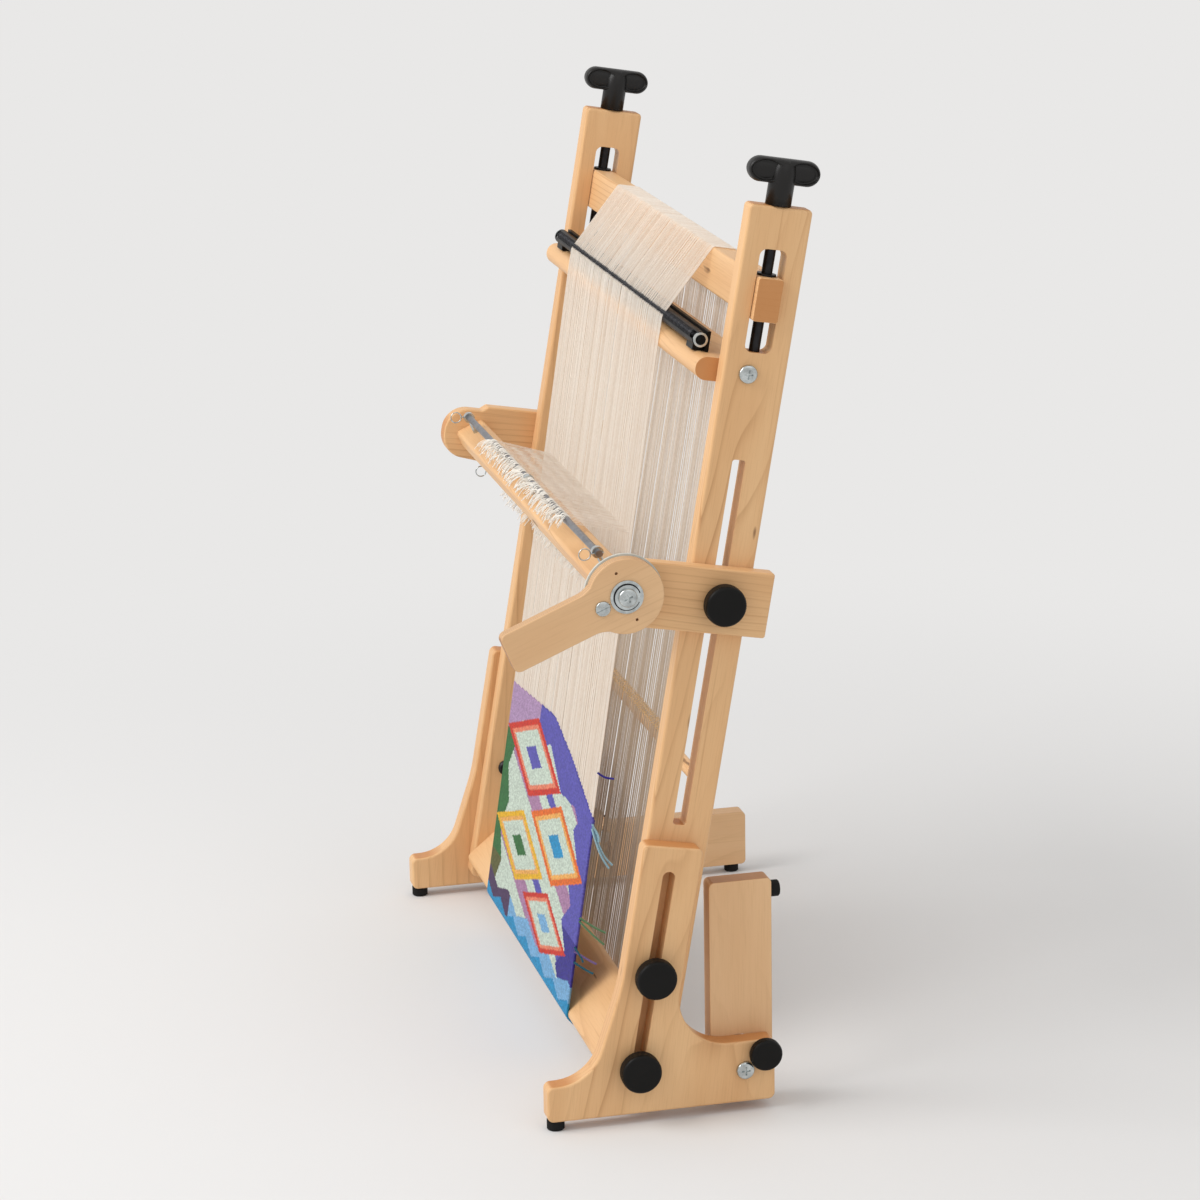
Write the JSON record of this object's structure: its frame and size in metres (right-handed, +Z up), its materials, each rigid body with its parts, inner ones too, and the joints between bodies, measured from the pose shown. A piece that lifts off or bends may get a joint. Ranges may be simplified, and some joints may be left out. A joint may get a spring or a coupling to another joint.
{
  "type": "tapestry loom",
  "caption": "Upright table tapestry loom on foot plates: leaning wooden frame, warped between beams, with a spring-spaced front bar, screw tension and a lever-tilted shedding bar.",
  "frame": {"origin": "middle of the whole loom's width and depth, on the surface it stands on", "axes": "+Z up, +X towards the loom's right as the weaver sits, where the lever is, +Y backwards; the frame leans back 10 degrees from +Z towards +Y"},
  "size_m": [0.688, 0.3886, 0.8622],
  "materials": {
    "maple": "satin oil",
    "lever_wood": "satin oil",
    "black_plastic": "satin moulded",
    "zinc_steel": "bright zinc plate",
    "black_steel": "black oxide",
    "plain_steel": "drawn wire and rod",
    "white_nylon": "smooth",
    "black_rubber": "matt",
    "cotton_warp": "twisted cotton",
    "tapestry_wool": "weft-faced wool weave"
  },
  "bodies": {
    "base": {"right_foot_plate": "maple", "left_foot_plate": "maple", "right_front_foot": "black_rubber", "left_front_foot": "black_rubber", "leg_pivot_bolts": "zinc_steel", "leg_lock_nuts": "zinc_steel"},
    "right_leg": {"right_leg": "lever_wood", "right_leg_foot": "black_rubber"},
    "left_leg": {"left_leg": "lever_wood", "left_leg_foot": "black_rubber"},
    "right_leg_lock": {"right_leg_lock_knob": "black_plastic", "right_leg_lock_stud": "zinc_steel"},
    "left_leg_lock": {"left_leg_lock_knob": "black_plastic", "left_leg_lock_stud": "zinc_steel"},
    "frame": {"right_upright": "maple", "left_upright": "maple", "bottom_beam": "lever_wood", "bottom_beam_inserts": "zinc_steel", "stretcher": "maple", "front_bar": "maple", "front_bar_screws": "zinc_steel", "spring_channel": "black_plastic", "channel_feet": "black_plastic", "channel_end_rings": "zinc_steel", "warp_spring": "plain_steel", "upper_clamp_bolts": "zinc_steel", "lower_warp": "cotton_warp", "tapestry": "tapestry_wool", "front_warp": "cotton_warp", "back_warp": "cotton_warp"},
    "right_upper_clamp": {"right_upper_clamp_knob": "black_plastic"},
    "left_upper_clamp": {"left_upper_clamp_knob": "black_plastic"},
    "right_lower_clamp": {"right_lower_clamp_knob": "black_plastic", "right_lower_clamp_stud": "zinc_steel"},
    "left_lower_clamp": {"left_lower_clamp_knob": "black_plastic", "left_lower_clamp_stud": "zinc_steel"},
    "beam": {"top_beam": "maple", "beam_nuts": "black_steel", "beam_warp": "cotton_warp"},
    "right_tension": {"right_tension_handle": "black_plastic", "right_tension_rod": "black_steel"},
    "left_tension": {"left_tension_handle": "black_plastic", "left_tension_rod": "black_steel"},
    "arms": {"right_arm": "maple", "left_arm": "maple", "arm_bolts": "zinc_steel"},
    "right_arm_clamp": {"right_arm_knob": "black_plastic"},
    "left_arm_clamp": {"left_arm_knob": "black_plastic"},
    "shed": {"shed_bar": "maple", "lever": "lever_wood", "nylon_disc": "white_nylon", "lever_washer": "zinc_steel", "lever_bolt": "zinc_steel", "far_pivot_bolt": "zinc_steel", "lever_screw": "zinc_steel", "heddle_rods": "plain_steel", "rod_brackets": "zinc_steel", "rod_clips": "zinc_steel", "heddles": "cotton_warp"}
  },
  "joints": [
    {"name": "frame_height", "type": "slide", "parent": "base", "child": "frame", "axis": [0, 0.1736, 0.9848], "range_m": [0, 0.09]},
    {"name": "right_leg_fold", "type": "hinge", "parent": "base", "child": "right_leg", "pos_m": [0.2965, 0.02127, 0.04], "axis": [1, 0, 0], "range_deg": [-90, 0]},
    {"name": "left_leg_fold", "type": "hinge", "parent": "base", "child": "left_leg", "pos_m": [-0.2965, 0.02127, 0.04], "axis": [1, 0, 0], "range_deg": [0, 90]},
    {"name": "right_leg_lock_turn", "type": "hinge", "parent": "base", "child": "right_leg_lock", "pos_m": [0.33, 0.03842, 0.05622], "axis": [1, 0, 0], "continuous": true},
    {"name": "left_leg_lock_turn", "type": "hinge", "parent": "base", "child": "left_leg_lock", "pos_m": [-0.33, 0.03842, 0.05622], "axis": [1, 0, 0], "continuous": true},
    {"name": "right_upper_clamp_turn", "type": "hinge", "parent": "frame", "child": "right_upper_clamp", "pos_m": [0.33, -0.06268, 0.14031], "axis": [1, 0, 0], "continuous": true},
    {"name": "left_upper_clamp_turn", "type": "hinge", "parent": "frame", "child": "left_upper_clamp", "pos_m": [-0.33, -0.06268, 0.14031], "axis": [1, 0, 0], "continuous": true},
    {"name": "right_lower_clamp_turn", "type": "hinge", "parent": "frame", "child": "right_lower_clamp", "pos_m": [0.33, -0.07796, 0.05365], "axis": [1, 0, 0], "continuous": true},
    {"name": "left_lower_clamp_turn", "type": "hinge", "parent": "frame", "child": "left_lower_clamp", "pos_m": [-0.33, -0.07796, 0.05365], "axis": [1, 0, 0], "continuous": true},
    {"name": "right_tension_turn", "type": "hinge", "parent": "frame", "child": "right_tension", "pos_m": [0.2965, 0.06404, 0.81577], "axis": [0, 0.1736, 0.9848], "range_deg": [-4545, 4999]},
    {"name": "left_tension_turn", "type": "hinge", "parent": "frame", "child": "left_tension", "pos_m": [-0.2965, 0.06404, 0.81577], "axis": [0, 0.1736, 0.9848], "range_deg": [-4545, 4999]},
    {"name": "beam_height", "type": "slide", "parent": "frame", "child": "beam", "axis": [0, 0.1736, 0.9848], "range_m": [-0.022, 0.02], "deforming": ["front_warp", "back_warp"]},
    {"name": "arms_height", "type": "slide", "parent": "frame", "child": "arms", "axis": [0, 0.1736, 0.9848], "range_m": [-0.188, 0.115]},
    {"name": "right_arm_clamp_turn", "type": "hinge", "parent": "arms", "child": "right_arm_clamp", "pos_m": [0.33, 0.00418, 0.4763], "axis": [1, 0, 0], "continuous": true},
    {"name": "left_arm_clamp_turn", "type": "hinge", "parent": "arms", "child": "left_arm_clamp", "pos_m": [-0.33, 0.00418, 0.4763], "axis": [1, 0, 0], "continuous": true},
    {"name": "shed_tilt", "type": "hinge", "parent": "arms", "child": "shed", "pos_m": [0.3, -0.08387, 0.49234], "axis": [1, 0, 0], "range_deg": [-45, 45], "deforming": ["heddles"]}
  ],
  "couplings": [
    {"joint": "right_tension_turn", "follows": "beam_height", "rad_per_m": -3957.9},
    {"joint": "left_tension_turn", "follows": "beam_height", "rad_per_m": -3957.9}
  ]
}
